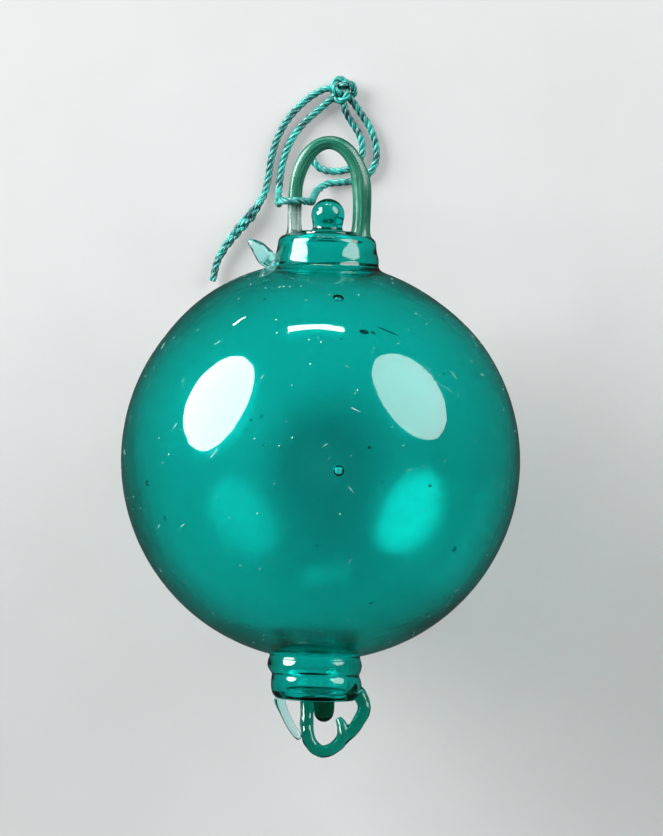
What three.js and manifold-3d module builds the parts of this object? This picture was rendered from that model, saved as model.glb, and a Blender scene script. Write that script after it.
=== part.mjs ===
// A hand-blown glass float ball, lying on its side, with the short cord that ties its upper eye.
// Units are millimetres. +Z is up, and +Y runs along the float's axis towards the upper eye.
// The origin is the centre of the small flat spot on which the ball rests.
import * as THREE from 'three';
import { mergeVertices } from 'three/addons/utils/BufferGeometryUtils.js';
import Module from 'manifold-3d';

const wasm = await Module();
wasm.setup();

// ---- driving dimensions -------------------------------------------------------------------

const ballRadius = 62.5;
const restRadius = 13; // of the flat spot under the ball
const axisHeight = Math.sqrt(ballRadius ** 2 - restRadius ** 2);

const turns = 44; // faces round the float's axis
const ballRows = 30; // rows of faces from collar to collar

// Distances along the axis are from the ball's centre.
const upperNeck = { radius: 16.4, flareRadius: 19.2, top: 62.6 };
const upperCollar = {
  lipRadius: 16.2, lipHeight: 63.8,
  waistRadius: 15.8, waistHeight: 65.4,
  radius: 15.4, top: 70.5, edgeRound: 2.6,
};
const upperStep = { radius: 9.6, top: 71.9, edgeRound: 0.8 };
// While the glass was soft, the upper shoulder was pulled a little to one side and the last ring
// of the lower collar to the other.
const shoulderPull = { shift: -1.2, from: 36, full: 57, keep: 58.5, end: 63 };
const ringPull = { shift: 0.7, from: 64, full: 70 };

// The lower collar is two rings with a shallow groove between them: radius, then place.
const lowerCollar = [
  [10.6, -74.9], [12.4, -74.6], [13.4, -73.6], [14, -72], [14.2, -70.4], [14.1, -68.8],
  [13.8, -67.5], [13.7, -67], [13.9, -66.5], [14.4, -65.6], [14.8, -64.4], [14.7, -63.2], [14.4, -62],
];
const lowerNeckRadius = 14.2;

// Thicknesses are the radii of a glass rod at even steps along it.
const eyeCane = { radii: [2.6, 2.8, 2.93, 2.6, 2.1, 2.2, 2.3, 2.2, 2.1], sides: 10, steps: 26 };
const eyeLeg = 10.5; // from the axis to the middle of each leg
const eyeRoot = 69; // where the legs start, inside the collar
const eyeSpring = 82; // where the arch begins
const eyeCrown = 99.8; // the middle of the rod at the top of the arch
const eyeFoot = { radius: 3.5, tip: 2.2, height: 3.2 };

const upperButton = { radius: 5.2, bottom: 70.5, top: 82.2 };
const lowerButton = { radius: 3.1, bottom: -73, top: -81.8, offset: 3.4 };

const hookTrail = { radii: [2.1, 2, 1.9, 1.85, 1.6], sides: 10, steps: 26 }; // the lower eye's hook
const broadBrace = { radii: [2.4, 2.1, 2.1, 1.9], sides: 10, steps: 16 };
const thinBrace = { radii: [2, 1.7, 1.7], sides: 8, steps: 12 };
const hookRise = 0.28; // of the hook and its braces, for each millimetre below the collar
const hookStart = -74;

const shoulderRun = { radii: [3.6, 3.3, 2.3, 1.1], sides: 8, steps: 9 }; // a drawn-out run of glass

const cordRadius = 1.2;
const cordSides = 8;
const cordLie = cordRadius + 0.05; // height of a cord's middle where it lies on the table
const wrapRadius = 2.1; // the cord's end, doubled back and wound round itself
const wrapLie = wrapRadius + 0.05;
const knot = { x: 3.5, y: 120.5, radius: 2.5, tube: 1.15, lie: 2.5 };

// ---- finishes -----------------------------------------------------------------------------

const tealGlass = new THREE.MeshStandardMaterial({ color: 0x0f9c8c, roughness: 0.06, metalness: 0 });
const tealTwine = new THREE.MeshStandardMaterial({ color: 0x12806f, roughness: 0.62, metalness: 0 });
const darkTwine = new THREE.MeshStandardMaterial({ color: 0x0d5f5c, roughness: 0.68, metalness: 0 });

// ---- helpers ------------------------------------------------------------------------------

// A geometry with one shared vertex at each corner, which is what a closed solid needs.
function welded(geometry) {
  const bare = geometry.index ? geometry.toNonIndexed() : geometry.clone();
  bare.deleteAttribute('normal');
  bare.deleteAttribute('uv');
  return mergeVertices(bare, 1e-4);
}

function solid(geometry) {
  const closed = welded(geometry);
  const mesh = new wasm.Mesh({
    numProp: 3,
    vertProperties: new Float32Array(closed.attributes.position.array),
    triVerts: new Uint32Array(closed.index.array),
  });
  return new wasm.Manifold(mesh);
}

function geometryOf(body) {
  const mesh = body.getMesh();
  const geometry = new THREE.BufferGeometry();
  geometry.setAttribute('position', new THREE.BufferAttribute(mesh.vertProperties, 3));
  geometry.setIndex(new THREE.BufferAttribute(mesh.triVerts, 1));
  geometry.computeVertexNormals();
  return geometry;
}

// Points of a circular arc in a profile: x is the radius from the axis, y the place along it.
function arc(centreX, centreY, radius, fromDegrees, toDegrees, count) {
  const points = [];
  for (let i = 0; i <= count; i += 1) {
    const angle = THREE.MathUtils.degToRad(fromDegrees + ((toDegrees - fromDegrees) * i) / count);
    points.push(new THREE.Vector2(
      centreX + radius * Math.cos(angle),
      centreY + radius * Math.sin(angle),
    ));
  }
  return points;
}

// A rod along a smooth curve through the given points, as thick at each place as radii says.
function rod(points, { radii, sides, steps }) {
  const path = new THREE.CatmullRomCurve3(points.map((p) => new THREE.Vector3(...p)), false, 'centripetal');
  const { normals, binormals } = path.computeFrenetFrames(steps, false);
  const positions = [];
  const triangles = [];
  for (let i = 0; i <= steps; i += 1) {
    const centre = path.getPointAt(i / steps);
    const place = (i / steps) * (radii.length - 1);
    const before = Math.min(Math.floor(place), radii.length - 2);
    const radius = THREE.MathUtils.lerp(radii[before], radii[before + 1], place - before);
    for (let j = 0; j < sides; j += 1) {
      const angle = (2 * Math.PI * (j + 0.5)) / sides;
      const rim = centre.clone()
        .addScaledVector(normals[i], radius * Math.cos(angle))
        .addScaledVector(binormals[i], radius * Math.sin(angle));
      positions.push(...rim.toArray());
    }
  }
  for (let i = 0; i < steps; i += 1) {
    for (let j = 0; j < sides; j += 1) {
      const a = i * sides + j;
      const b = i * sides + ((j + 1) % sides);
      triangles.push(a, b, b + sides, a, b + sides, a + sides);
    }
  }
  const last = steps * sides;
  for (let j = 1; j < sides - 1; j += 1) {
    triangles.push(0, j + 1, j, last, last + j, last + j + 1);
  }
  const geometry = new THREE.BufferGeometry();
  geometry.setAttribute('position', new THREE.Float32BufferAttribute(positions, 3));
  geometry.setIndex(triangles);
  return geometry;
}

// ---- the glass float ----------------------------------------------------------------------

// Moves the upper shoulder to one side, and the lower collar's last ring to the other.
function pulled(geometry) {
  const { smoothstep } = THREE.MathUtils;
  const points = geometry.attributes.position;
  for (let i = 0; i < points.count; i += 1) {
    const y = points.getY(i);
    const rising = smoothstep(y, shoulderPull.from, shoulderPull.full);
    const falling = 1 - smoothstep(y, shoulderPull.keep, shoulderPull.end);
    const shoulder = shoulderPull.shift * rising * falling;
    const ring = ringPull.shift * smoothstep(-y, ringPull.from, ringPull.full);
    points.setX(i, points.getX(i) + shoulder + ring);
  }
  return geometry;
}

// The ball with its two collars, turned round the axis as one profile from pole to pole.
function ballAndCollars() {
  const degreesAt = (radius) => THREE.MathUtils.radToDeg(Math.acos(radius / ballRadius));
  const flareStart = new THREE.Vector2(
    upperNeck.flareRadius,
    Math.sqrt(ballRadius ** 2 - upperNeck.flareRadius ** 2),
  );
  const flare = new THREE.QuadraticBezierCurve(
    flareStart,
    new THREE.Vector2(upperNeck.radius, flareStart.y + 1),
    new THREE.Vector2(upperNeck.radius, upperNeck.top),
  );
  const collarEdge = upperCollar.radius - upperCollar.edgeRound;
  const stepEdge = upperStep.radius - upperStep.edgeRound;
  const profile = [
    new THREE.Vector2(0, lowerCollar[0][1]),
    ...lowerCollar.map((p) => new THREE.Vector2(...p)),
    ...arc(0, 0, ballRadius, -degreesAt(lowerNeckRadius), degreesAt(flareStart.x), ballRows),
    ...flare.getPoints(4).slice(1),
    new THREE.Vector2(upperCollar.lipRadius, upperCollar.lipHeight),
    new THREE.Vector2(upperCollar.waistRadius, upperCollar.waistHeight),
    ...arc(collarEdge, upperCollar.top - upperCollar.edgeRound, upperCollar.edgeRound, 0, 90, 4),
    new THREE.Vector2(upperStep.radius, upperCollar.top),
    ...arc(stepEdge, upperStep.top - upperStep.edgeRound, upperStep.edgeRound, 0, 90, 2),
    new THREE.Vector2(0, upperStep.top),
  ];
  return solid(pulled(new THREE.LatheGeometry(profile, turns)));
}

// The button of glass that seals a blowing hole: a dome that rises from inside its collar.
function button({ radius, bottom, top }, offset) {
  const outward = Math.sign(top);
  const shoulder = top - outward * radius;
  const dome = arc(0, 0, radius, 0, 90, 6).map((p) => new THREE.Vector2(p.x, shoulder + outward * p.y));
  const profile = [
    new THREE.Vector2(0, bottom),
    new THREE.Vector2(radius * 0.86, bottom),
    ...dome.slice(0, -1),
    new THREE.Vector2(0, top),
  ];
  if (outward < 0) profile.reverse();
  return solid(new THREE.LatheGeometry(profile, 16).translate(offset, 0, 0));
}

// The upper eye is a long arch of glass rod. Its feet spread where they were pressed on hot.
function upperEye() {
  const rise = eyeCrown - eyeSpring;
  const arch = [];
  for (let degrees = 0; degrees <= 180; degrees += 15) {
    const angle = THREE.MathUtils.degToRad(degrees);
    arch.push([eyeLeg * Math.cos(angle), eyeSpring + rise * Math.sin(angle) ** 0.94, 0]);
  }
  const centres = [
    [eyeLeg - 0.3, eyeRoot, 0],
    [eyeLeg, (eyeRoot + eyeSpring) / 2, 0],
    ...arch,
    [-eyeLeg, (eyeRoot + eyeSpring) / 2, 0],
    [0.3 - eyeLeg, eyeRoot, 0],
  ];
  const footProfile = [
    new THREE.Vector2(0, eyeRoot),
    new THREE.Vector2(eyeFoot.radius, eyeRoot),
    new THREE.Vector2(eyeFoot.radius, upperCollar.top),
    new THREE.Vector2(eyeFoot.tip, upperCollar.top + eyeFoot.height),
    new THREE.Vector2(0, upperCollar.top + eyeFoot.height),
  ];
  let eye = solid(rod(centres, eyeCane));
  for (const side of [-1, 1]) {
    const foot = new THREE.LatheGeometry(footProfile, 12).translate(side * (eyeLeg - 0.2), 0, 0);
    eye = eye.add(solid(foot));
  }
  return eye;
}

// The lower eye is a hook of trailed glass, with a broad brace on one side and a thin one on the other.
function lowerEye() {
  const hook = [
    [-1.7, -72], [-1.8, -76], [-1.9, -80], [-1.7, -84.5], [-0.4, -88.4],
    [3, -90.7], [6.9, -89.5], [9.3, -86.2], [9.3, -82.8], [7.9, -80.4],
  ];
  const broad = [
    [11.2, -68], [13.7, -71.8], [15.6, -75.2], [15.8, -77.8], [14.4, -81], [12.1, -84.4], [9.4, -87.3],
  ];
  const thin = [[-11.3, -70], [-10.8, -74], [-9.1, -78.4], [-7, -82.5], [-4.7, -86.2], [-1.6, -88.8]];
  const raised = ([x, y]) => [x, y, hookRise * Math.max(0, hookStart - y)];
  return solid(rod(hook.map(raised), hookTrail))
    .add(solid(rod(broad.map(raised), broadBrace)))
    .add(solid(rod(thin.map(raised), thinBrace)));
}

// On one shoulder the glass ran out below the collar and was drawn to a blunt tail.
function shoulderTail() {
  const run = [[-14.5, 60.5, 0], [-18.4, 62.8, 0], [-21.6, 66.1, 0], [-24.7, 68.4, 0]];
  return solid(rod(run, shoulderRun));
}

// Everything under the table's surface is ground away, which leaves the flat spot.
function glassFloat() {
  const shape = ballAndCollars()
    .add(upperEye())
    .add(lowerEye())
    .add(shoulderTail())
    .add(button(upperButton, 0.3))
    .add(button(lowerButton, lowerButton.offset));
  const lifted = shape.translate([0, 0, axisHeight]);
  const ground = solid(new THREE.BoxGeometry(100, 100, 10).translate(0, 0, -5));
  return geometryOf(lifted.subtract(ground));
}

// ---- the cord -----------------------------------------------------------------------------

// From the knot along the table, up over the eye's left leg, down through the eye, across
// under the right leg and back to the knot.
const loopRoute = [
  [-0.8, 116.9, 2], [-4, 114, 1.5], [-8.2, 110.2, cordLie], [-12, 105.2, cordLie], [-14.7, 99, cordLie],
  [-15.9, 93, cordLie], [-16.3, 87.6, 2.2], [-16.3, 84, 7], [-16.1, 82.4, 16], [-15.9, 81.6, 30],
  [-15.8, 81.2, 44], [-15.7, 81, 55], [-15.2, 81, 60.6], [-13.4, 81, 64.4], [-10.5, 81, 65.9],
  [-7.6, 81, 64.4], [-5.8, 81.1, 60.6], [-5.3, 81.3, 55], [-5.1, 82.4, 42], [-4.9, 84, 26],
  [-4.5, 85.8, 13], [-3.4, 87.8, 4.6], [-0.6, 89.8, 1.6], [4, 90.5, cordLie], [9, 91.2, cordLie],
  [12.9, 93.6, cordLie], [15, 98, cordLie], [14.7, 103.6, cordLie], [12.6, 108.8, cordLie],
  [9.6, 113.2, 1.5], [7.2, 116.4, 2],
];

// The long spare end runs back beside the loop.
const tailRoute = [
  [-2, 120.8, 2.2], [-5.6, 119, 1.6], [-9.8, 115.6, cordLie], [-14.2, 110.4, cordLie],
  [-17.4, 104, cordLie], [-19.2, 97, cordLie], [-20, 90.6, cordLie], [-21, 86.2, 1.5],
];

// Its last stretch is doubled back and wound round itself.
const wrapRoute = [
  [-21.3, 85.5, wrapLie], [-24, 80.6, wrapLie], [-28, 75.4, wrapLie], [-32.4, 69.6, wrapLie],
  [-35.8, 63.2, wrapLie], [-37, 57, wrapLie],
];

// The short spare end tucks back under the eye.
const shortRoute = [
  [4.2, 114.9, 2.2], [5.8, 111.6, 1.5], [8.8, 107.2, cordLie], [10.5, 102.4, cordLie],
  [9.7, 97.8, cordLie], [6.2, 94.9, cordLie], [1.2, 94, cordLie], [-3.4, 95, cordLie],
  [-6, 98.4, cordLie], [-6.3, 101.6, cordLie],
];

function twine(points, radius, steps) {
  return welded(rod(points, { radii: [radius, radius], sides: cordSides, steps }));
}

// A single overhand knot, lying flat.
function overhandKnot() {
  const trefoil = new THREE.TorusKnotGeometry(knot.radius, knot.tube, 45, 7, 2, 3);
  return welded(trefoil.translate(knot.x, knot.y, knot.lie));
}

// ---- the assembly -------------------------------------------------------------------------

const part = new THREE.Group();

function place(name, geometry, material) {
  const mesh = new THREE.Mesh(geometry, material);
  mesh.name = name;
  part.add(mesh);
}

place('glass_float', glassFloat(), tealGlass);
place('cord_loop', twine(loopRoute, cordRadius, 46), tealTwine);
place('cord_knot', overhandKnot(), tealTwine.clone());
place('cord_long_end', twine(tailRoute, cordRadius, 9), tealTwine.clone());
place('cord_end_wrap', twine(wrapRoute, wrapRadius, 8), darkTwine);
place('cord_short_end', twine(shortRoute, cordRadius, 12), darkTwine.clone());

export default part;
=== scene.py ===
# %% [markdown]
# # A glass float ball
# The object is a sealed, hand-blown glass float: a thin-walled teal ball with a collar, a sealing
# button and a glass eye at each end. A short laid cord is tied through the upper eye. The ball is
# loose, so it lies on its side, and the camera looks straight down on it.
#
# We begin with the frame: the solids that the rest has to fit. Its box is kept from the start,
# because the finished model has to stay inside it.

# %% The frame and its box
import math
import bpy
import numpy as np
from mathutils import Matrix, Vector


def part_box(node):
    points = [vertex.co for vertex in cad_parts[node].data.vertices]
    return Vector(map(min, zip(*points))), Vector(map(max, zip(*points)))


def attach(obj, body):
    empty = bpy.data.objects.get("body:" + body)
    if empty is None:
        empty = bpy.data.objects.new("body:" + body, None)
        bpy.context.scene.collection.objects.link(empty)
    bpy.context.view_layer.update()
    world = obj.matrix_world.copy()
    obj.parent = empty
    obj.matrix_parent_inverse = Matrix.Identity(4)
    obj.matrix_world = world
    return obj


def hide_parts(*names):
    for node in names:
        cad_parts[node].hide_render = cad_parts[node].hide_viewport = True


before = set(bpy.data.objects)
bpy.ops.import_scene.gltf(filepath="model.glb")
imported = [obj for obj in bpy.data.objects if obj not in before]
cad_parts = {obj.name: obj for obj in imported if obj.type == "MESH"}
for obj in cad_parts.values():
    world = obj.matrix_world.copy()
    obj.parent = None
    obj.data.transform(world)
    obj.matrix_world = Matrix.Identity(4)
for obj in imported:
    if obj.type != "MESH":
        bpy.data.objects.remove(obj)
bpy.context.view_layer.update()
MM = 0.001

# %% [markdown]
# ## What the sizes are
# A blown ball is measured across, so its radius drives the rest. The float's axis runs along Y,
# and its height above the table follows from the small flat spot that the ball rests on. Places
# along the axis are counted from the ball's centre.

# %% Driving sizes of the glass
BALL_R = 62.5 * MM
REST_R = 13 * MM
AXIS_Z = math.sqrt(BALL_R ** 2 - REST_R ** 2)
WALL = 3.0 * MM
glass_low, glass_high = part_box("glass_float")
EYE_TOP_Y = glass_high[1]
HOOK_END_Y = glass_low[1]
print(f"the axis is {AXIS_Z / MM:.2f} mm up; the float is {(EYE_TOP_Y - HOOK_END_Y) / MM:.1f} mm long")

# %% [markdown]
# ## The camera
# The camera looks straight down from well above, through a long lens, so that the ball stays
# round. It is rolled by a little under two degrees, as the float leans a little to one side.

# %% Camera
LEAN = math.radians(1.7)
CAMERA_UP = 1.5
VIEW_HEIGHT = 0.262  # how much of the table the frame takes in, from top to bottom
scene = bpy.context.scene
camera_data = bpy.data.cameras.new("camera")
camera = bpy.data.objects.new("camera", camera_data)
scene.collection.objects.link(camera)
camera_data.lens = camera_data.sensor_width / 2 / (VIEW_HEIGHT / 2 / (CAMERA_UP - AXIS_Z))
camera_data.clip_end = 20
camera.location = (0.003, 0.0135, CAMERA_UP)
camera.rotation_euler = (0, 0, LEAN)
scene.camera = camera
print(f"lens {camera_data.lens:.0f} mm, {CAMERA_UP} m above the table")

# %% [markdown]
# ## Smooth lines and rods
# Both the cord and the glass rods follow a line through a few points. A Catmull-Rom spline with
# centripetal spacing passes through every point without overshooting at sharp turns. The frame
# carried along the line is turned as little as possible from point to point, so a rod doesn't
# twist on its own.

# %% A smooth line through points
def smooth_line(points, step):
    """Evenly spaced points, step apart, on the centripetal Catmull-Rom curve through points."""
    p = np.array(points, float)
    p = np.vstack([2 * p[0] - p[1], p, 2 * p[-1] - p[-2]])
    fine = []
    for i in range(1, len(p) - 2):
        a, b, c, d = p[i - 1:i + 3]
        ta = 0.0
        tb = ta + np.linalg.norm(b - a) ** 0.5
        tc = tb + np.linalg.norm(c - b) ** 0.5
        td = tc + np.linalg.norm(d - c) ** 0.5
        for t in np.linspace(tb, tc, 24, endpoint=False):
            ab = (tb - t) / (tb - ta) * a + (t - ta) / (tb - ta) * b
            bc = (tc - t) / (tc - tb) * b + (t - tb) / (tc - tb) * c
            cd = (td - t) / (td - tc) * c + (t - tc) / (td - tc) * d
            abc = (tc - t) / (tc - ta) * ab + (t - ta) / (tc - ta) * bc
            bcd = (td - t) / (td - tb) * bc + (t - tb) / (td - tb) * cd
            fine.append((tc - t) / (tc - tb) * abc + (t - tb) / (tc - tb) * bcd)
    fine.append(p[-2])
    fine = np.array(fine)
    along = np.concatenate([[0], np.cumsum(np.linalg.norm(np.diff(fine, axis=0), axis=1))])
    even = np.linspace(0, along[-1], max(2, round(along[-1] / step) + 1))
    return np.column_stack([np.interp(even, along, fine[:, k]) for k in range(3)])


def line_length(line):
    return float(np.linalg.norm(np.diff(line, axis=0), axis=1).sum())


# %% Frames carried along a line
def carried_frames(line):
    """For each point of a line, its direction and two directions square to it."""
    ahead = np.gradient(line, axis=0)
    ahead /= np.linalg.norm(ahead, axis=1)[:, None]
    start = np.array([0, 0, 1.0]) if abs(ahead[0][2]) < 0.9 else np.array([1.0, 0, 0])
    side = start - ahead[0] * start.dot(ahead[0])
    sides = []
    for direction in ahead:
        side = side - direction * side.dot(direction)
        side /= np.linalg.norm(side)
        sides.append(side)
    sides = np.array(sides)
    return ahead, sides, np.cross(ahead, sides)


# %% [markdown]
# ## Meshes from rings
# A rod, a strand and a turned shape are all the same thing to a mesh: a row of rings with faces
# between them. One helper takes the rings and closes both ends. It also lays a UV map along the
# rod, one turn of the ring to one unit across, so a finish can follow the rod's own direction.

# %% Rings into a mesh
class Shell:
    """Vertices, faces and UVs that are gathered before one mesh is made of them."""

    def __init__(self):
        self.points, self.faces, self.uvs, self.slots = [], [], [], []

    def add_rings(self, rings, slot=0, along=None, inward=False):
        rings = np.asarray(rings, float)
        count, sides = rings.shape[:2]
        along = np.linspace(0, 1, count) if along is None else along
        base = len(self.points)
        self.points += [tuple(v) for v in rings.reshape(-1, 3)]
        for i in range(count - 1):
            for j in range(sides):
                k = (j + 1) % sides
                face = [base + i * sides + j, base + i * sides + k,
                        base + (i + 1) * sides + k, base + (i + 1) * sides + j]
                uv = [(along[i], j / sides), (along[i], (j + 1) / sides),
                      (along[i + 1], (j + 1) / sides), (along[i + 1], j / sides)]
                self._keep(face, uv, slot, inward)
        for i, turn in ((0, -1), (count - 1, 1)):
            middle = len(self.points)
            self.points.append(tuple(rings[i].mean(axis=0)))
            for j in range(sides):
                k = (j + 1) % sides
                ends = (j, k) if turn > 0 else (k, j)
                face = [base + i * sides + ends[0], base + i * sides + ends[1], middle]
                self._keep(face, [(along[i], j / sides)] * 3, slot, inward)

    def _keep(self, face, uv, slot, inward):
        self.faces.append(face[::-1] if inward else face)
        self.uvs.append(uv[::-1] if inward else uv)
        self.slots.append(slot)

    def make(self, name, materials, sharp_degrees=40):
        mesh = bpy.data.meshes.new(name)
        mesh.from_pydata(self.points, [], self.faces)
        layer = mesh.uv_layers.new(name="along")
        layer.data.foreach_set("uv", np.array([c for uv in self.uvs for p in uv for c in p]))
        for material in materials:
            mesh.materials.append(material)
        mesh.polygons.foreach_set("material_index", self.slots)
        mesh.polygons.foreach_set("use_smooth", [True] * len(self.faces))
        mesh.set_sharp_from_angle(angle=math.radians(sharp_degrees))
        mesh.update()
        piece = bpy.data.objects.new(name, mesh)
        scene.collection.objects.link(piece)
        print(f"{name}: {len(mesh.vertices)} vertices")
        return piece


def ring_rows(line, radii, sides):
    """Rings round a line, each of its own radius."""
    _, side, up = carried_frames(line)
    angle = 2 * math.pi * np.arange(sides) / sides
    radii = np.broadcast_to(np.asarray(radii, float), (len(line),))
    wide = radii[:, None, None]
    return (line[:, None, :]
            + wide * np.cos(angle)[None, :, None] * side[:, None, :]
            + wide * np.sin(angle)[None, :, None] * up[:, None, :])


# %% [markdown]
# ## The cord
# The tie is a laid cord, 2.4 mm thick: three strands, each a bundle of fine synthetic fibres, turn
# round each other once every seven millimetres. It goes up over the eye's left leg, down through
# the eye, across the table under the right leg, and both its ends meet in an overhand knot. One
# spare end is short and lies under the eye. The other is doubled back and wound round itself.
#
# The routes are the ones that the solids follow, in millimetres, and run on into the knot. The loop
# hangs from the glass on both sides of the leg, and everything else lies on the table.

# %% Cord sizes and routes
CORD_R = 1.2
LIE = CORD_R + 0.05
WRAP_R = 2.1
WRAP_LIE = WRAP_R + 0.05
KNOT_AT = (3.5, 120.5, 2.5)

loop_route = [
    (1.6, 119, 2.4), (-0.8, 116.9, 2), (-4, 114, 1.5), (-8.2, 110.2, LIE), (-12, 105.2, LIE),
    (-14.7, 99, LIE), (-15.9, 93, LIE), (-16.3, 87.6, 2.2), (-16.3, 84, 7), (-16.1, 82.4, 16),
    (-15.9, 81.6, 30),
    (-15.8, 81.2, 44), (-15.7, 81, 55), (-15.2, 81, 60.6), (-13.4, 81, 64.4), (-10.5, 81, 65.9),
    (-7.6, 81, 64.4), (-5.8, 81.1, 60.6), (-5.3, 81.3, 55), (-5.1, 82.4, 42), (-4.9, 84, 26),
    (-4.5, 85.8, 13), (-3.4, 87.8, 4.6), (-0.6, 89.8, 1.6), (4, 90.5, LIE), (9, 91.2, LIE),
    (12.9, 93.6, LIE), (15, 98, LIE), (14.7, 103.6, LIE), (12.6, 108.8, LIE), (9.6, 113.2, 1.5),
    (7.2, 116.4, 2), (5.2, 118.8, 2.4),
]
long_route = [
    (1.4, 120.9, 2.4), (-2, 120.8, 2.2), (-5.6, 119, 1.6), (-9.8, 115.6, LIE), (-14.2, 110.4, LIE),
    (-17.4, 104, LIE), (-19.2, 97, LIE), (-20, 90.6, LIE), (-21, 86.2, 1.5),
]
wrap_route = [
    (-21.3, 85.5, WRAP_LIE), (-24, 80.6, WRAP_LIE), (-28, 75.4, WRAP_LIE), (-32.4, 69.6, WRAP_LIE),
    (-35.8, 63.2, WRAP_LIE), (-37, 57, WRAP_LIE),
]
short_route = [
    (3.9, 118, 2.4), (4.2, 114.9, 2.2), (5.8, 111.6, 1.5), (8.8, 107.2, LIE), (10.5, 102.4, LIE),
    (9.7, 97.8, LIE), (6.2, 94.9, LIE), (1.2, 94, LIE), (-3.4, 95, LIE), (-6, 98.4, LIE),
    (-6.3, 101.6, LIE),
]


def in_metres(points):
    return [tuple(MM * c for c in p) for p in points]


# %% [markdown]
# ## Twine
# A synthetic fibre is glossy and slightly see-through, so laid twine shows bright lines where its
# strands turn up to the light. The deep blue-green between them is painted shade in the base colour,
# mixed at random with the twine's teal. The finish follows each strand: fine fibre lines run along it
# at a slant, and the dye is a little uneven.

# %% Small helpers for finishes
def new_material(name):
    material = bpy.data.materials.new(name)
    material.use_nodes = True
    nodes = material.node_tree.nodes
    return material, nodes, material.node_tree.links, nodes["Principled BSDF"]


def noise(nodes, links, vector, scale, detail=3.0, roughness=0.5):
    node = nodes.new("ShaderNodeTexNoise")
    node.inputs["Scale"].default_value = scale
    node.inputs["Detail"].default_value = detail
    node.inputs["Roughness"].default_value = roughness
    links.new(vector, node.inputs["Vector"])
    return node.outputs["Fac"]


def ramp(nodes, links, value, stops):
    """A colour ramp with stops of (place, colour)."""
    node = nodes.new("ShaderNodeValToRGB")
    elements = node.color_ramp.elements
    while len(elements) < len(stops):
        elements.new(0.5)
    for element, (place, colour) in zip(elements, stops):
        element.position = place
        element.color = (*colour, 1)
    links.new(value, node.inputs["Fac"])
    return node.outputs["Color"]


def stretched(nodes, links, output, scale):
    node = nodes.new("ShaderNodeMapping")
    node.inputs["Scale"].default_value = scale
    links.new(output, node.inputs["Vector"])
    return node.outputs["Vector"]


def to_range(nodes, links, value, low, high, from_low=0.0, from_high=1.0):
    node = nodes.new("ShaderNodeMapRange")
    node.inputs["From Min"].default_value = from_low
    node.inputs["From Max"].default_value = from_high
    node.inputs["To Min"].default_value = low
    node.inputs["To Max"].default_value = high
    links.new(value, node.inputs["Value"])
    return node.outputs["Result"]


def bump(nodes, links, height, distance, strength=1.0, under=None):
    node = nodes.new("ShaderNodeBump")
    node.inputs["Distance"].default_value = distance
    node.inputs["Strength"].default_value = strength
    links.new(height, node.inputs["Height"])
    if under is not None:
        links.new(under, node.inputs["Normal"])
    return node.outputs["Normal"]


# %% The finish of the twine
def twine_material(name, painted_shade, bright):
    material, nodes, links, shader = new_material(name)
    coords = nodes.new("ShaderNodeTexCoord")
    along = coords.outputs["UV"]
    fibres = noise(nodes, links, stretched(nodes, links, along, (300, 16, 1)), 1.0, 2.0)
    dye = noise(nodes, links, coords.outputs["Object"], 260, 3.0)
    mixed = nodes.new("ShaderNodeMix")
    mixed.inputs["Factor"].default_value = 0.45
    links.new(fibres, mixed.inputs["A"])
    links.new(dye, mixed.inputs["B"])
    # the dark stop is painted shade between the strands; the bright stop is the twine's own teal
    colour = ramp(nodes, links, mixed.outputs["Result"], [(0.38, painted_shade), (0.62, bright)])
    links.new(colour, shader.inputs["Base Color"])
    shader.inputs["Specular IOR Level"].default_value = 0.75
    shader.inputs["Sheen Weight"].default_value = 0.1
    shader.inputs["Sheen Roughness"].default_value = 0.4
    links.new(to_range(nodes, links, fibres, 0.28, 0.5), shader.inputs["Roughness"])
    links.new(bump(nodes, links, fibres, 0.00012, 0.9), shader.inputs["Normal"])
    return material


# the first colour is painted shade between the strands, the second the twine's own teal
teal_twine = twine_material("teal_twine", (0.0, 0.02, 0.034), (0.015, 0.46, 0.39))

# %% [markdown]
# ## Laying the strands
# Each strand is a tube along a helix round the cord's own line. Its radius and its distance from
# the line are about half the cord's radius, so the three touch each other. They draw in a little
# towards a cut end.

# %% Laid cord
LAY = 7.2 * MM  # the length in which a strand goes once round
STRAND_SIDES = 9


def strand_lines(line, radius, count, lay, phase=0.0):
    """The middle lines of strands that turn round a line."""
    _, side, up = carried_frames(line)
    along = np.concatenate([[0], np.cumsum(np.linalg.norm(np.diff(line, axis=0), axis=1))])
    away = radius * np.ones(len(line))
    lines = []
    for k in range(count):
        angle = 2 * math.pi * (along / lay + k / count) + phase
        lines.append(line
                     + (away * np.cos(angle))[:, None] * side
                     + (away * np.sin(angle))[:, None] * up)
    return along, lines


def lay_cord(name, line, radius, material, tip=0.0):
    """A three-strand cord along a line; tip is how far its ends draw in, in metres."""
    shell = Shell()
    along, lines = strand_lines(line, 0.53 * radius, 3, LAY)
    left = np.minimum(along, along[-1] - along)
    wide = 0.5 * radius * np.clip(0.55 + 0.45 * left / max(tip, 1e-9), 0, 1)
    for strand in lines:
        shell.add_rings(ring_rows(strand, wide, STRAND_SIDES), along=along)
    return shell.make(name, [material])


STEP = LAY / 14
loop_line = smooth_line(in_metres(loop_route), STEP)
long_line = smooth_line(in_metres(long_route + wrap_route[1:]), STEP)
short_line = smooth_line(in_metres(short_route), STEP)
cord_loop = lay_cord("tie_loop", loop_line, CORD_R * MM, teal_twine)
cord_short = lay_cord("tie_short_end", short_line, CORD_R * MM, teal_twine, tip=0.002)
print(f"loop {line_length(loop_line) / MM:.0f} mm, long end {line_length(long_line) / MM:.0f} mm, "
      f"short end {line_length(short_line) / MM:.0f} mm")

# %% [markdown]
# ## The wound end
# The long end is doubled back on itself, and its last stretch is wound round the standing part. So
# three cords turn round each other here, and the whole swells out and gets thinner towards its end.

# %% Long end and its winding
WRAP_LAY = 11 * MM


def long_end():
    """The single cord from the knot to the fold."""
    return lay_cord("tie_long_end", long_line, CORD_R * MM, teal_twine)


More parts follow.
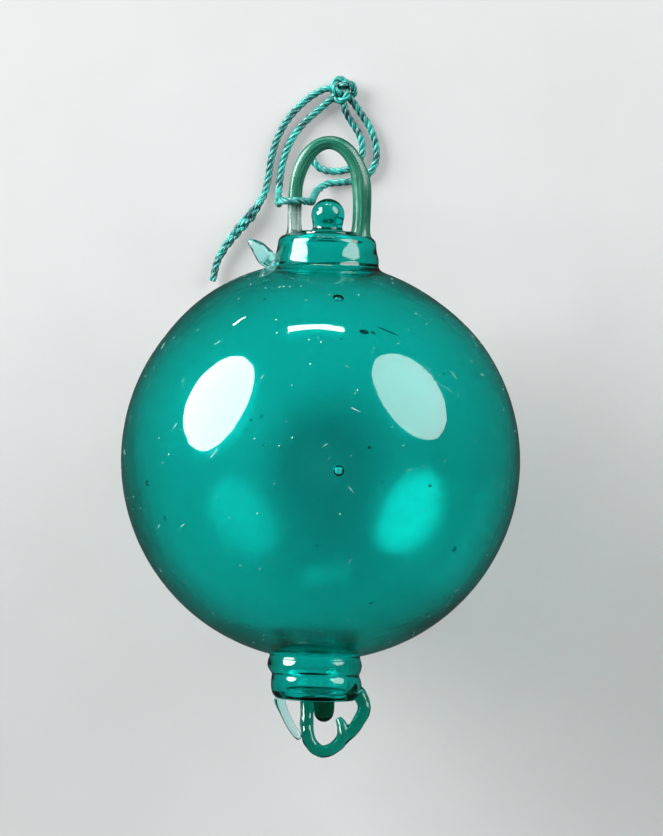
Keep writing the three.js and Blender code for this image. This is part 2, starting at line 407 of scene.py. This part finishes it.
def wound_end():
    """Three cords turned tight round each other, drawn in towards the end."""
    line = smooth_line(in_metres(wrap_route), WRAP_LAY / 22)
    shell = Shell()
    place = np.linspace(0, 1, len(line))
    swell = np.clip(0.35 + 2.6 * place, 0, 1) * np.clip(1.12 - 0.62 * place, 0, 1)
    along, cords = strand_lines(line, 1.05 * MM * swell, 3, WRAP_LAY)
    for number, cord in enumerate(cords):
        inner, strands = strand_lines(cord, 0.5 * MM * swell, 3, -4.6 * MM, phase=number)
        for strand in strands:
            shell.add_rings(ring_rows(strand, 0.52 * MM * swell, 7), along=inner)
    print(f"wound end {line_length(line) / MM:.0f} mm")
    return shell.make("tie_wound_end", [teal_twine])


cord_long = long_end()
cord_wrap = wound_end()

# %% [markdown]
# ## The knot
# An overhand knot pulled tight is a trefoil: the line goes twice round a ring while it goes three
# times through it. The same three strands are laid along it.

# %% Knot
def knot_line(radius=2.5, turns=2, passes=3, count=150):
    points = []
    for u in np.linspace(0, 2 * math.pi * turns, count):
        across = passes / turns * u
        reach = radius * (2 + math.cos(across)) / 2
        points.append((KNOT_AT[0] + reach * math.cos(u), KNOT_AT[1] + reach * math.sin(u),
                       KNOT_AT[2] + radius * math.sin(across) / 2))
    return np.array(in_metres(points))


tie_knot = lay_cord("tie_knot", knot_line(), 1.16 * MM, teal_twine)

# %% [markdown]
# ## The cords in the scene
# Each cord, the knot and the wound end are hung on the root, and the solid that each stands for is
# hidden. The loop starts and ends in the knot, and the two spare ends leave the knot.

# %% The cords hung on the root
for cord, line, node, far_end, on_it in (
        (cord_loop, loop_line, "cord_loop", "knot", [tie_knot]),
        (cord_long, long_line, "cord_long_end", "knot", [cord_wrap]),
        (cord_short, short_line, "cord_short_end", "bare", [])):
    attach(cord, "root")
    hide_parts(node)
for piece, node in ((tie_knot, "cord_knot"), (cord_wrap, "cord_end_wrap")):
    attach(piece, "root")
    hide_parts(node)

# %% [markdown]
# ## Coloured glass
# Coloured glass takes its colour from its depth, not from its skin: light is absorbed along the
# way. So the surface is plain clear glass, and a Volume Absorption inside it does the colouring.
# A three millimetre wall then looks bright, and the edge of the ball, where the eye looks along
# the wall, goes dark without any painting. The hook and the lower button are of denser glass, and
# the thin brace and the drawn-out run are almost clear. The skin of the hollow is a little dull, so
# what shows through the ball is soft, while the outside stays sharp.
#
# Absorption per metre is density times one minus the colour. Teal glass takes nearly all the red.

# %% The finish of blown glass
def scratch_lines(nodes, links, place):
    """One on a few fine broken lines, nothing elsewhere."""
    cells = nodes.new("ShaderNodeTexVoronoi")
    cells.feature = "DISTANCE_TO_EDGE"
    cells.inputs["Scale"].default_value = 70
    links.new(stretched(nodes, links, place, (1.3, 0.7, 1)), cells.inputs["Vector"])
    thin = to_range(nodes, links, cells.outputs["Distance"], 1.0, 0.0, 0.0, 0.006)
    broken = to_range(nodes, links, noise(nodes, links, place, 55, 2.0), 0.0, 1.0, 0.6, 0.66)
    both = nodes.new("ShaderNodeMath")
    both.operation = "MULTIPLY"
    links.new(thin, both.inputs[0])
    links.new(broken, both.inputs[1])
    return both.outputs["Value"]


INNER_SKIN = (60.4 * MM, 60.6 * MM)  # from the ball's centre; inside this the glass is dull


def blown_glass(name, tint, density, scuff=1.0, inside=0.0):
    """Clear glass with absorption; scuff is its wear, and inside is how dull its hollow is."""
    material, nodes, links, shader = new_material(name)
    shader.inputs["Base Color"].default_value = (0.97, 1.0, 0.99, 1)
    shader.inputs["Transmission Weight"].default_value = 1.0
    shader.inputs["IOR"].default_value = 1.5
    absorb = nodes.new("ShaderNodeVolumeAbsorption")
    absorb.inputs["Color"].default_value = (*tint, 1)
    absorb.inputs["Density"].default_value = density
    links.new(absorb.outputs["Volume"], nodes["Material Output"].inputs["Volume"])

    place = nodes.new("ShaderNodeTexCoord").outputs["Object"]
    swirl = noise(nodes, links, stretched(nodes, links, place, (1, 2.2, 1)), 46, 2.0)
    grazes = noise(nodes, links, stretched(nodes, links, place, (1, 0.12, 0.3)), 1500, 1.0, 0.65)
    normal = bump(nodes, links, swirl, 0.00018 * scuff, 0.5)
    normal = bump(nodes, links, grazes, 0.000003 * scuff, 0.5, normal)
    scratches = scratch_lines(nodes, links, place)
    links.new(bump(nodes, links, scratches, 0.00004 * scuff, 0.6, normal), shader.inputs["Normal"])
    patches = noise(nodes, links, place, 95, 3.0, 0.7)
    worn = to_range(nodes, links, patches, 0.0, 0.06 * scuff, 0.56, 0.8)
    radius = nodes.new("ShaderNodeVectorMath")
    radius.operation = "DISTANCE"
    radius.inputs[1].default_value = (0, 0, AXIS_Z)
    links.new(place, radius.inputs[0])
    dull = to_range(nodes, links, radius.outputs["Value"], inside, 0.0, *INNER_SKIN)
    rough = nodes.new("ShaderNodeMath")
    rough.operation = "ADD"
    links.new(worn, rough.inputs[0])
    links.new(dull, rough.inputs[1])
    links.new(rough.outputs["Value"], shader.inputs["Roughness"])
    return material


teal_glass = blown_glass("teal_glass", (0.0, 0.915, 0.898), 1100, inside=0.17)
hook_glass = blown_glass("dark_teal_glass", (0.0, 0.76, 0.70), 1500, scuff=0.6)
deep_glass = blown_glass("deep_teal_glass", (0.0, 0.76, 0.70), 2100, scuff=0.6)
clear_glass = blown_glass("pale_teal_glass", (0.2, 0.93, 0.91), 200, scuff=0.8)

# %% [markdown]
# ## The ball, turned from one outline
# A blown float is round about its axis, so its outside is one outline turned round the Y axis, from
# the underside of the lower rings to the top of the sealing button. The arcs follow the same sizes
# as the solid. The inside is a second outline, three millimetres in, that runs on into both hollow
# necks. Blown glass is never even, so both are pushed in and out a little by slow waves.

# %% Outlines
def arc(centre_r, centre_y, radius, start, end, count):
    angles = np.radians(np.linspace(start, end, count + 1))
    return [(centre_r + radius * math.cos(a), centre_y + radius * math.sin(a)) for a in angles]


def bend(start, control, end, count):
    """A quadratic curve between two points of an outline."""
    t = np.linspace(0, 1, count + 1)[:, None]
    curve = (1 - t) ** 2 * np.array(start) + 2 * t * (1 - t) * np.array(control) + t ** 2 * np.array(end)
    return [tuple(p) for p in curve]


BALL = BALL_R / MM
LOW_NECK = 14.2  # where the ball meets the lower collar
FLARE = 19.2  # where the ball starts to rise to the upper collar
TINY = 0.03  # the first and last ring of an outline, in place of a point
LOWER_COLLAR = [
    (10.6, -74.9), (12.4, -74.6), (13.4, -73.6), (14, -72), (14.2, -70.4), (14.1, -68.8),
    (13.8, -67.5), (13.7, -67), (13.9, -66.5), (14.4, -65.6), (14.8, -64.4), (14.7, -63.2), (14.4, -62),
]


def on_ball(radius):
    return math.sqrt(BALL ** 2 - radius ** 2)


def outside():
    """The lower rings, the ball, the upper collar with its step, and the upper button."""
    low_angle = math.degrees(math.acos(LOW_NECK / BALL))
    high_angle = math.degrees(math.acos(FLARE / BALL))
    rings = smooth_line([(r, y, 0) for r, y in LOWER_COLLAR], 0.3)
    return [
        (TINY, -74.9), (5, -74.9), *[(r, y) for r, y, _ in rings], (14.2, -61.4),
        *arc(0, 0, BALL, -low_angle, high_angle, 130),
        *bend((FLARE - 0.2, on_ball(FLARE) + 0.1), (16.6, on_ball(FLARE) + 1), (16.4, 62.6), 8),
        (16.35, 63.2), (16.25, 63.8), (16.05, 64.4), (15.85, 65.2), (15.65, 66), (15.5, 66.9),
        *arc(12.8, 67.9, 2.6, 0, 90, 12), (11.2, 70.5), (9.9, 70.55), (9.6, 70.8),
        *arc(8.8, 71.1, 0.8, 0, 90, 5), (7.4, 71.9), (5.6, 71.95), (4.8, 72.4), (4.6, 73.2),
        (4.75, 74.2),
        *arc(0, 77, 5.2, -18, 89.5, 20),
    ]


def inside():
    """The hollow: the ball's wall grows a little thicker towards the lower neck."""
    hollow = BALL - WALL / MM - 0.2
    low_angle, high_angle = math.acos(15 / hollow), math.acos(18 / hollow)
    ball = []
    for a in np.linspace(-low_angle, high_angle, 100):
        thicker = 0.6 * np.clip((-hollow * math.sin(a) - 36) / 22, 0, 1)
        ball.append(((hollow - thicker) * math.cos(a), (hollow - thicker) * math.sin(a)))
    low, high = ball[0], ball[-1]
    return [
        (TINY, -73.2), (5, -73.1), *bend((8.5, -72.9), (10.6, -72.4), (10.6, -69.5), 5),
        (10.5, -66),
        *bend((10.4, -63.5), (10.6, -59.8), (low[0] - 0.6, low[1] - 0.4), 8), *ball,
        *bend((high[0] - 0.8, high[1] + 0.4), (12.4, high[1] + 1.4), (12.1, 62.4), 8),
        (11.9, 64.5), (11.8, 66.5), *bend((11.8, 68), (11.7, 69.3), (10, 69.4), 5), (8.2, 69.45),
        *bend((7.6, 69.7), (7.4, 70.9), (6, 71), 4), (3, 71.1), (TINY, 71.1),
    ]


# %% The pull to one side
SHOULDER_PULL = 1.2 * MM
RING_PULL = 0.7 * MM


def eased(y, start, end):
    """Goes softly from nothing to one while y goes from start to end."""
    part = np.clip((y - start) / (end - start), 0, 1)
    return part ** 2 * (3 - 2 * part)


def pulled(points):
    """Moves the upper shoulder to one side, and the lower collar's last ring to the other."""
    points = np.array(points, float)
    y = points[:, 1] / MM
    shoulder = eased(y, 36, 57) * (1 - eased(y, 58.5, 63))
    points[:, 0] += RING_PULL * eased(y, -64, -70) - SHOULDER_PULL * shoulder
    return points


# %% Slow waves of blown glass
rng = np.random.default_rng(11)


def slow_waves(points, size, count, shortest):
    """A smooth height for each point, from a few long waves in random directions."""
    height = np.zeros(len(points))
    for _ in range(count):
        heading = rng.normal(size=3)
        heading /= np.linalg.norm(heading)
        length = shortest * rng.uniform(1, 2.4)
        height += np.sin(2 * math.pi * points @ heading / length + rng.uniform(0, 6.28))
    return size * height / math.sqrt(count)


def turned(outline, turns, waves, deeper=0.0):
    """Rings of an outline, in millimetres, round the float's axis; deeper stretches them in Z."""
    outline = np.array(outline) * MM
    angle = 2 * math.pi * np.arange(turns) / turns
    rings = np.empty((len(outline), turns, 3))
    rings[..., 0] = outline[:, :1] * np.sin(angle)
    rings[..., 1] = outline[:, 1:]
    rings[..., 2] = outline[:, :1] * np.cos(angle)
    flat = rings.reshape(-1, 3)
    size, shortest = waves
    on_sphere = np.clip((0.057 - np.abs(flat[:, 1])) / 0.008, 0, 1)
    flat[:, 2] *= 1 + deeper * on_sphere
    out = flat / np.linalg.norm(flat, axis=1)[:, None]
    flat += out * (slow_waves(flat, size, 7, shortest) * on_sphere)[:, None]
    flat[:, 2] += AXIS_Z
    return rings


outer_rings = turned(outside(), 144, (0.035 * MM, 60 * MM))
outer_rings[..., 2] = np.maximum(outer_rings[..., 2], 0.0)
inner_rings = turned(inside(), 120, (0.22 * MM, 46 * MM), deeper=0.008)
ball = Shell()
ball.add_rings(outer_rings)
ball.add_rings(inner_rings, inward=True)
print(f"outside {outer_rings.shape[0]} rings, inside {inner_rings.shape[0]} rings")

# %% [markdown]
# ## Seeds and stones
# Air caught in the glass makes seeds. A seed in a blown wall is pressed flat as the ball swells, so
# it is a lens-shaped hollow lying in the middle of the wall. A few are large enough to show as
# rings of light. A stone is a dark speck that never melted. Both are small closed shells in the
# wall, the seeds turned inside out because the glass is on their outside.

# %% Seeds
STONE_SLOT, DUST_SLOT = 1, 2  # the seeds are in the glass's own slot


def small_shell(target, centre, radii, turn, sides=12, slot=0, inward=True):
    """A flattened ball whose thin way is radial from the float's centre."""
    out = Vector(centre) - Vector((0, 0, AXIS_Z))
    frame_of = out.to_track_quat("Z", "Y").to_matrix() @ Matrix.Rotation(turn, 3, "Z")
    heights = np.linspace(-0.985, 0.985, sides // 2 + 1)
    angle = 2 * math.pi * np.arange(sides) / sides
    rings = []
    for h in np.sin(heights * math.pi / 2):
        wide = math.sqrt(max(0.0, 1 - h * h))
        local = np.column_stack([radii[0] * wide * np.cos(angle), radii[1] * wide * np.sin(angle),
                                 np.full(sides, radii[2] * h)])
        rings.append(local @ np.array(frame_of).T + np.array(centre))
    target.add_rings(rings, slot=slot, inward=inward)


def in_wall(x, y):
    """The middle of the ball's wall over a place on the table, which is given in millimetres."""
    middle = (BALL - WALL / MM / 2) * MM
    x, y = x * MM, y * MM
    rise = math.sqrt(middle ** 2 - x * x - y * y)
    return (x, y, AXIS_Z + rise)


SMALL_SEEDS = 90
named_seeds = [(5.6, -2.2, 1.7), (4.8, 49.6, 1.7), (-30, 8, 0.7), (41, -25, 0.8), (-52, -8, 0.9)]
for x, y, size in named_seeds:
    radii = (size * MM, size * MM, min(0.7 * size, 1.15) * MM)
    small_shell(ball, in_wall(x, y), radii, 0, sides=24)
seeds = 0
while seeds < SMALL_SEEDS:
    direction = rng.normal(size=3)
    direction /= np.linalg.norm(direction)
    size = 0.12 + 0.34 * rng.random() ** 3
    if abs(direction[1]) > 0.9 or direction[2] < -0.93:
        continue
    centre = direction * (BALL_R - WALL * rng.uniform(0.3, 0.7)) + np.array([0, 0, AXIS_Z])
    radii = (size * MM * rng.uniform(1, 1.9), size * MM, min(0.6, 0.8 * size) * MM)
    small_shell(ball, tuple(centre), radii, rng.uniform(0, 3.14), sides=10)
    seeds += 1
print(f"{len(named_seeds)} large and {seeds} small seeds")

# %% Stones
def stone_material():
    material, nodes, links, shader = new_material("unmelted_stone")
    place = nodes.new("ShaderNodeTexCoord").outputs["Object"]
    grain = noise(nodes, links, place, 2600, 4.0)
    links.new(ramp(nodes, links, grain, [(0.3, (0.0, 0.02, 0.018)), (0.7, (0.005, 0.07, 0.06))]),
              shader.inputs["Base Color"])
    shader.inputs["Roughness"].default_value = 0.6
    links.new(bump(nodes, links, grain, 0.0001), shader.inputs["Normal"])
    return material


stones = [(12.1, 39.5, 1.5, 0.9, 0.2), (14.8, 39.3, 0.8, 0.4, -0.3), (19.4, 39.9, 3.8, 0.2, 0.1),
          (14.5, 5, 0.5, 0.4, 0), (-21, 12, 0.4, 0.3, 1), (33, -6, 0.6, 0.35, 2)]
for x, y, long_way, short_way, turn in stones:
    small_shell(ball, in_wall(x, y), (long_way * MM, short_way * MM, 0.3 * MM), turn,
                slot=STONE_SLOT, inward=False)

# %% Dust and lint on the skin
def dust_material():
    material, nodes, links, shader = new_material("pale_dust")
    place = nodes.new("ShaderNodeTexCoord").outputs["Object"]
    grain = noise(nodes, links, place, 900, 2.0)
    links.new(ramp(nodes, links, grain, [(0.35, (0.2, 0.5, 0.45)), (0.65, (0.75, 0.85, 0.82))]),
              shader.inputs["Base Color"])
    shader.inputs["Roughness"].default_value = 0.8
    links.new(bump(nodes, links, grain, 0.00005), shader.inputs["Normal"])
    return material


SPECKS = 260
for number in range(SPECKS):
    direction = rng.normal(size=3)
    direction /= np.linalg.norm(direction)
    direction[2] = abs(direction[2])
    if abs(direction[1]) > 0.92:
        continue
    lint = number % 9 == 0
    size = rng.uniform(0.07, 0.22)
    radii = (size * MM * (rng.uniform(5, 9) if lint else 1.3),
             size * MM * (0.5 if lint else 1), 0.05 * MM)
    centre = direction * (BALL_R + 0.04 * MM) + np.array([0, 0, AXIS_Z])
    small_shell(ball, tuple(centre), radii, rng.uniform(0, 3.14), sides=8,
                slot=DUST_SLOT, inward=False)

ball.points = [tuple(p) for p in pulled(ball.points)]
glass_ball = ball.make("glass_ball", [teal_glass, stone_material(), dust_material()], sharp_degrees=50)
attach(glass_ball, "root")
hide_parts("glass_float")

# %% [markdown]
# ## The upper eye
# The eye is a cane of greener glass, bent to a long arch while it was soft and pressed on to the
# collar, so its feet spread. It was pulled from a gather with milky threads in it: fine ridges and
# pale streaks run along it. The glass is cloudy, so part of its light comes from inside the cane
# and part passes through. The colour had run out of the gather by the last foot, which is clear.

# %% Cane with streaks
def cane_glass():
    material, nodes, links, shader = new_material("green_cane_glass")
    along = nodes.new("ShaderNodeTexCoord").outputs["UV"]
    streaks = noise(nodes, links, stretched(nodes, links, along, (5, 22, 1)), 1.0, 4.0, 0.6)
    clouds = noise(nodes, links, stretched(nodes, links, along, (2.5, 60, 1)), 1.0, 2.0)
    milky = ramp(nodes, links, streaks, [(0.3, (0.004, 0.085, 0.05)), (0.5, (0.02, 0.21, 0.13)),
                                         (0.72, (0.11, 0.44, 0.31))])
    clear = ramp(nodes, links, streaks, [(0.35, (0.15, 0.3, 0.27)), (0.6, (0.75, 0.9, 0.86))])
    place = nodes.new("ShaderNodeSeparateXYZ")
    links.new(along, place.inputs["Vector"])
    last_foot = to_range(nodes, links, place.outputs["X"], 0.0, 1.0, 0.84, 0.92)
    mixed = nodes.new("ShaderNodeMix")
    mixed.data_type = "RGBA"
    links.new(last_foot, mixed.inputs["Factor"])
    links.new(milky, mixed.inputs["A"])
    links.new(clear, mixed.inputs["B"])
    links.new(mixed.outputs["Result"], shader.inputs["Base Color"])
    see_through = nodes.new("ShaderNodeMath")
    see_through.operation = "MAXIMUM"
    links.new(to_range(nodes, links, clouds, 0.3, 0.7, 0.35, 0.7), see_through.inputs[0])
    links.new(to_range(nodes, links, last_foot, 0.0, 0.93), see_through.inputs[1])
    links.new(see_through.outputs["Value"], shader.inputs["Transmission Weight"])
    links.new(to_range(nodes, links, streaks, 0.16, 0.34), shader.inputs["Roughness"])
    shader.inputs["IOR"].default_value = 1.5
    links.new(bump(nodes, links, streaks, 0.00012, 0.6), shader.inputs["Normal"])
    return material


EYE_LEG, EYE_SPRING, EYE_CROWN = 10.5, 82, 99.8
COLLAR_TOP = 70.5
EYE_SIDES = 28


def arch_line():
    """The middle of the cane, from one foot over the arch to the other."""
    arch = [(EYE_LEG * math.cos(a), EYE_SPRING + (EYE_CROWN - EYE_SPRING) * math.sin(a) ** 0.94, 0)
            for a in np.radians(np.arange(0, 181, 15))]
    leg = [(EYE_LEG - 0.25, COLLAR_TOP - 0.3, 0), (EYE_LEG, 76, 0)]
    points = leg + arch + [(-x, y, z) for x, y, z in reversed(leg)]
    line = smooth_line(in_metres(points), 0.6 * MM)
    return line + np.array([0, 0, AXIS_Z])


def upper_eye():
    """The cane as rings with fine ridges, spread where its feet were pressed on."""
    line = arch_line()
    along = np.concatenate([[0], np.cumsum(np.linalg.norm(np.diff(line, axis=0), axis=1))])
    from_end = np.minimum(along, along[-1] - along) / MM
    foot = 1.15 * np.exp(-from_end / 1.3)
    wander = 0.09 * np.sin(along / MM / 5.1) + 0.06 * np.sin(along / MM / 2.3 + 1)
    place = along / along[-1]
    body = np.interp(place, [0, 0.12, 0.28, 0.5, 0.72, 1], [2.6, 2.8, 2.95, 2.05, 2.3, 2.1])
    rings = ring_rows(line, (body + foot + wander) * MM, EYE_SIDES)
    angle = 2 * math.pi * np.arange(EYE_SIDES) / EYE_SIDES
    twist = along[:, None] / (46 * MM)
    ridges = 1 + 0.022 * np.sin(5 * angle + 3 * twist) + 0.014 * np.sin(9 * angle - 4 * twist + 1)
    rings = line[:, None, :] + (rings - line[:, None, :]) * ridges[..., None]
    shell = Shell()
    shell.add_rings(rings, along=along / along[-1])
    return shell.make("upper_eye", [cane_glass()])


eye = upper_eye()
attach(eye, "root")
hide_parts("glass_float")

# %% [markdown]
# ## The lower eye
# The lower eye is a small hook of trailed glass with a broad brace on one side, a thin clear one on
# the other and the lower sealing button between them. The hook and the broad brace were laid on hot
# and ran together. Voxel remeshing does the same to a mesh: the overlapping rods become one skin,
# and smoothing rounds the places where they meet. On one shoulder of the ball a little clear glass
# ran out below the upper collar and was drawn to a blunt tail.

# %% Hook, braces and button
HOOK = [(-1.7, -73.8), (-1.8, -76), (-1.9, -80), (-1.7, -84.5), (-0.4, -88.4), (3, -90.7),
        (6.9, -89.5), (9.3, -86.2), (9.3, -82.8), (7.9, -80.4)]
BROAD = [(13.4, -71.2), (14.3, -72.6), (15.6, -75.2), (15.8, -77.8), (14.4, -81), (12.1, -84.4),
         (9.4, -87.3)]
THIN = [(-10.6, -74.7), (-10.4, -76), (-9, -79.2), (-6.8, -83.2), (-3.9, -87)]
HOOK_RISE, HOOK_START = 0.28, -74


def raised(points):
    """The eye stands up a little from the float's axis as it leaves the collar."""
    return [(x, y, HOOK_RISE * max(0, HOOK_START - y)) for x, y in points]


def trail(shell, points, thickness):
    """A rod of glass through points; thickness is pairs of a place along it and its radius."""
    line = smooth_line(in_metres(points), 0.4 * MM) + np.array([0, 0, AXIS_Z])
    place = np.linspace(0, 1, len(line))
    shell.add_rings(ring_rows(line, np.interp(place, *zip(*thickness)) * MM, 20))


def run_together(source, name, voxel, rounds):
    """One skin over overlapping shells, smoothed, as a new mesh."""
    remesh = source.modifiers.new("remesh", "REMESH")
    remesh.mode = "VOXEL"
    remesh.voxel_size = voxel
    soften = source.modifiers.new("soften", "SMOOTH")
    soften.factor = 0.5
    soften.iterations = rounds
    graph = bpy.context.evaluated_depsgraph_get()
    mesh = bpy.data.meshes.new_from_object(source.evaluated_get(graph))
    mesh.name = name
    mesh.polygons.foreach_set("use_smooth", [True] * len(mesh.polygons))
    spots = np.array([v.co for v in mesh.vertices])
    out = np.array([v.normal for v in mesh.vertices])
    spots += out * slow_waves(spots, 0.09 * MM, 9, 2.6 * MM)[:, None]
    mesh.vertices.foreach_set("co", spots.ravel())
    mesh.update()
    piece = bpy.data.objects.new(name, mesh)
    scene.collection.objects.link(piece)
    bpy.data.objects.remove(source)
    print(f"{name}: {len(mesh.polygons)} faces run together")
    return piece


hot = Shell()
trail(hot, raised(HOOK), [(0, 2.4), (0.3, 2.1), (0.9, 1.85), (1, 1.2)])
trail(hot, raised(BROAD), [(0, 1.7), (0.1, 2.2), (0.8, 2.0), (1, 1.5)])
hook = run_together(hot.make("hot_trails", [hook_glass]), "lower_eye", 0.22 * MM, 7)
thin = Shell()
trail(thin, raised(THIN), [(0, 1.8), (0.3, 1.4), (0.9, 1.3), (1, 0.8)])
bead = Shell()
trail(bead, [(3.4, -75, 0), (3.4, -77, 0), (3.3, -79.5, 0), (3.2, -81.7, 0)],
      [(0, 3.2), (0.5, 3.2), (0.75, 2.8), (0.92, 1.9), (1, 0.8)])
tail = Shell()
trail(tail, [(-17.2, 61.6, 0), (-19, 63.2, 0), (-21.7, 66.2, 0), (-24.6, 68.4, 0)],
      [(0, 2.3), (0.25, 2.9), (0.6, 2.3), (0.9, 1.2), (1, 0.5)])
glass_details = [hook, thin.make("thin_brace", [clear_glass]), bead.make("lower_button", [deep_glass]),
                 tail.make("shoulder_run", [clear_glass])]
for piece in glass_details:
    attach(piece, "root")
    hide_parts("glass_float")

# %% [markdown]
# ## Table and light
# Glass shows its shape by what it reflects. Two round softboxes on the left and the right make the
# two ovals on the ball. A long thin light beyond the upper eye makes the fine line near the top, and
# a short one the small glint beside it. The sky is even and dim, and the table isn't mirrored, so
# the ball's edges go dark. The table glows a little, which keeps it pale under the ball.

# %% Table
def table_material():
    material, nodes, links, shader = new_material("pale_table")
    place = nodes.new("ShaderNodeTexCoord").outputs["Object"]
    mottle = noise(nodes, links, place, 30, 4.0)
    links.new(ramp(nodes, links, mottle, [(0.3, (0.33, 0.34, 0.34)), (0.7, (0.35, 0.36, 0.36))]),
              shader.inputs["Base Color"])
    shader.inputs["Roughness"].default_value = 0.7
    shader.inputs["Specular IOR Level"].default_value = 0.2
    shader.inputs["Emission Color"].default_value = (1, 1, 1, 1)
    shader.inputs["Emission Strength"].default_value = 0.28
    return material


def table(half=4.0, below=0.0002):
    """A flat square, its top a hair under the float so that the two faces don't fight."""
    mesh = bpy.data.meshes.new("table")
    corners = [(x * half, y * half, -below) for x, y in ((-1, -1), (1, -1), (1, 1), (-1, 1))]
    mesh.from_pydata(corners, [], [(0, 1, 2, 3)])
    mesh.materials.append(table_material())
    piece = bpy.data.objects.new("table", mesh)
    scene.collection.objects.link(piece)
    piece.visible_glossy = False
    return piece


table()

# %% Lights
BALL_CENTRE = Vector((0, 0, AXIS_Z))


def softbox(name, mirror, distance, power, wide, high, shape="ELLIPSE"):
    """A lamp that the ball mirrors at a place given in parts of its radius, seen from above."""
    data = bpy.data.lights.new(name, "AREA")
    data.shape, data.size, data.size_y, data.energy = shape, wide, high, power
    lamp = bpy.data.objects.new(name, data)
    scene.collection.objects.link(lamp)
    normal = Vector((*mirror, math.sqrt(1 - mirror[0] ** 2 - mirror[1] ** 2)))
    spot = BALL_CENTRE + BALL_R * normal
    to_eye = (scene.camera.location - spot).normalized()
    heading = (2 * normal.dot(to_eye) * normal - to_eye).normalized()
    lamp.location = spot + distance * heading
    lamp.rotation_euler = heading.to_track_quat("Z", "Y").to_euler()
    lamp.visible_camera = False
    print(name, "at", [round(c, 3) for c in lamp.location])
    return lamp


softbox("left_softbox", (-0.516, 0.281), 1.25, 50, 1.12, 0.92)
softbox("right_softbox", (0.435, 0.341), 1.25, 19, 1.12, 0.9)
softbox("top_strip", (-0.04, 0.653), 1.2, 3, 0.54, 0.085, shape="RECTANGLE")
softbox("small_strip", (-0.42, 0.66), 1.2, 0.25, 0.12, 0.03, shape="RECTANGLE")

sky = bpy.data.worlds.new("even_sky")
sky.use_nodes = True
sky.node_tree.nodes["Background"].inputs["Color"].default_value = (1, 1, 1, 1)
sky.node_tree.nodes["Background"].inputs["Strength"].default_value = 0.05
scene.world = sky
scene.view_settings.view_transform = "Standard"
scene.cycles.max_bounces = 12
scene.cycles.transmission_bounces = 10
scene.cycles.diffuse_bounces = 3
